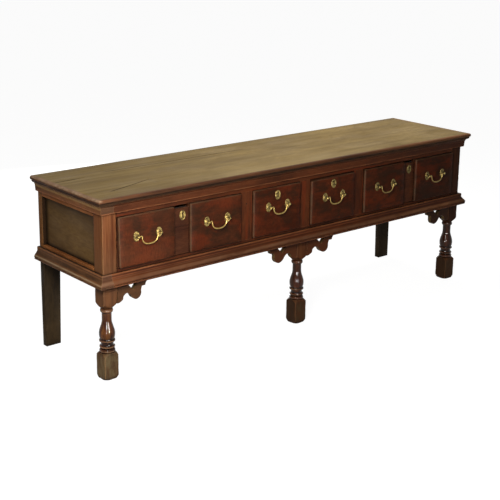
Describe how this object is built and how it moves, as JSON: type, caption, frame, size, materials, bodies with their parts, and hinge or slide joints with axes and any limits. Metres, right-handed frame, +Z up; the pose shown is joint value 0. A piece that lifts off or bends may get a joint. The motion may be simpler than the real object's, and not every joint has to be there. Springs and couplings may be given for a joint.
{
  "type": "dresser base",
  "caption": "Long joined oak dresser base with a row of drawers between moulded cornice and waist, turned front legs, pierced brackets and brass drop handles.",
  "frame": {"origin": "on the floor, under the middle of the whole piece", "axes": "+X along the length to the right as seen from the front, +Z up, drawers facing -Y"},
  "size_m": [2.318, 0.557, 0.8],
  "materials": {
    "top_oak": "faded, dry waxed oak",
    "moulding_oak": "waxed dark oak, worn pale on the edges",
    "frame_oak": "waxed red-brown oak",
    "leg_oak": "waxed dark oak, scuffed at the feet",
    "drawer_oak": "waxed red-brown oak, mottled",
    "panel_oak": "olive-brown waxed oak",
    "inside_oak": "bare aged oak",
    "peg_oak": "cleft oak",
    "brass": "rubbed old brass",
    "iron": "dull forged iron"
  },
  "bodies": {
    "carcase": {"top_front_plank": "top_oak", "top_back_plank": "top_oak", "cornice_front": "moulding_oak", "cornice_ends": "moulding_oak", "front_post_left": "leg_oak", "front_post_right": "leg_oak", "centre_leg": "leg_oak", "back_posts": "leg_oak", "front_stiles": "frame_oak", "front_top_rail": "frame_oak", "front_bottom_rail": "frame_oak", "end_rails": "frame_oak", "end_panels": "panel_oak", "back_rails": "inside_oak", "back_board": "inside_oak", "waist_moulding_front": "moulding_oak", "waist_moulding_ends": "moulding_oak", "leg_brackets": "leg_oak", "drawer_runners": "inside_oak", "drawer_guides": "inside_oak", "drawer_kickers": "inside_oak", "joint_pegs": "peg_oak"},
    "drawer_1": {"drawer_1_front": "drawer_oak", "drawer_1_fields": "drawer_oak", "drawer_1_sides": "inside_oak", "drawer_1_back": "inside_oak", "drawer_1_bottom": "inside_oak", "drawer_1_brasses": "brass", "drawer_1_lock": "iron"},
    "lock_bolt_1": {"drawer_1_lock_bolt": "iron"},
    "bail_1": {"handle_bail_1": "brass"},
    "bail_2": {"handle_bail_2": "brass"},
    "drawer_2": {"drawer_2_front": "drawer_oak", "drawer_2_fields": "drawer_oak", "drawer_2_sides": "inside_oak", "drawer_2_back": "inside_oak", "drawer_2_bottom": "inside_oak", "drawer_2_brasses": "brass", "drawer_2_lock": "iron"},
    "lock_bolt_2": {"drawer_2_lock_bolt": "iron"},
    "bail_3": {"handle_bail_3": "brass"},
    "drawer_3": {"drawer_3_front": "drawer_oak", "drawer_3_fields": "drawer_oak", "drawer_3_sides": "inside_oak", "drawer_3_back": "inside_oak", "drawer_3_bottom": "inside_oak", "drawer_3_brasses": "brass", "drawer_3_lock": "iron"},
    "lock_bolt_3": {"drawer_3_lock_bolt": "iron"},
    "bail_4": {"handle_bail_4": "brass"},
    "drawer_4": {"drawer_4_front": "drawer_oak", "drawer_4_fields": "drawer_oak", "drawer_4_sides": "inside_oak", "drawer_4_back": "inside_oak", "drawer_4_bottom": "inside_oak", "drawer_4_brasses": "brass", "drawer_4_lock": "iron"},
    "lock_bolt_4": {"drawer_4_lock_bolt": "iron"},
    "bail_5": {"handle_bail_5": "brass"},
    "bail_6": {"handle_bail_6": "brass"}
  },
  "joints": [
    {"name": "drawer_1_slide", "type": "slide", "parent": "carcase", "child": "drawer_1", "axis": [0, -1, 0], "range_m": [0, 0.34]},
    {"name": "lock_bolt_1_slide", "type": "slide", "parent": "drawer_1", "child": "lock_bolt_1", "axis": [0, 0, 1], "range_m": [0, 0.022]},
    {"name": "bail_1_swing", "type": "hinge", "parent": "drawer_1", "child": "bail_1", "pos_m": [-0.90567, -0.2715, 0.614], "axis": [-1, 0, 0], "range_deg": [-15, 110]},
    {"name": "bail_2_swing", "type": "hinge", "parent": "drawer_1", "child": "bail_2", "pos_m": [-0.535, -0.2715, 0.614], "axis": [-1, 0, 0], "range_deg": [-15, 110]},
    {"name": "drawer_2_slide", "type": "slide", "parent": "carcase", "child": "drawer_2", "axis": [0, -1, 0], "range_m": [0, 0.34]},
    {"name": "lock_bolt_2_slide", "type": "slide", "parent": "drawer_2", "child": "lock_bolt_2", "axis": [0, 0, 1], "range_m": [0, 0.01]},
    {"name": "bail_3_swing", "type": "hinge", "parent": "drawer_2", "child": "bail_3", "pos_m": [-0.17833, -0.2715, 0.62], "axis": [-1, 0, 0], "range_deg": [-15, 110]},
    {"name": "drawer_3_slide", "type": "slide", "parent": "carcase", "child": "drawer_3", "axis": [0, -1, 0], "range_m": [0, 0.34]},
    {"name": "lock_bolt_3_slide", "type": "slide", "parent": "drawer_3", "child": "lock_bolt_3", "axis": [0, 0, 1], "range_m": [0, 0.01]},
    {"name": "bail_4_swing", "type": "hinge", "parent": "drawer_3", "child": "bail_4", "pos_m": [0.17833, -0.2715, 0.61], "axis": [-1, 0, 0], "range_deg": [-15, 110]},
    {"name": "drawer_4_slide", "type": "slide", "parent": "carcase", "child": "drawer_4", "axis": [0, -1, 0], "range_m": [0, 0.34]},
    {"name": "lock_bolt_4_slide", "type": "slide", "parent": "drawer_4", "child": "lock_bolt_4", "axis": [0, 0, 1], "range_m": [0, 0.022]},
    {"name": "bail_5_swing", "type": "hinge", "parent": "drawer_4", "child": "bail_5", "pos_m": [0.535, -0.2715, 0.61], "axis": [-1, 0, 0], "range_deg": [-15, 110]},
    {"name": "bail_6_swing", "type": "hinge", "parent": "drawer_4", "child": "bail_6", "pos_m": [0.90567, -0.2715, 0.61], "axis": [-1, 0, 0], "range_deg": [-15, 110]}
  ]
}
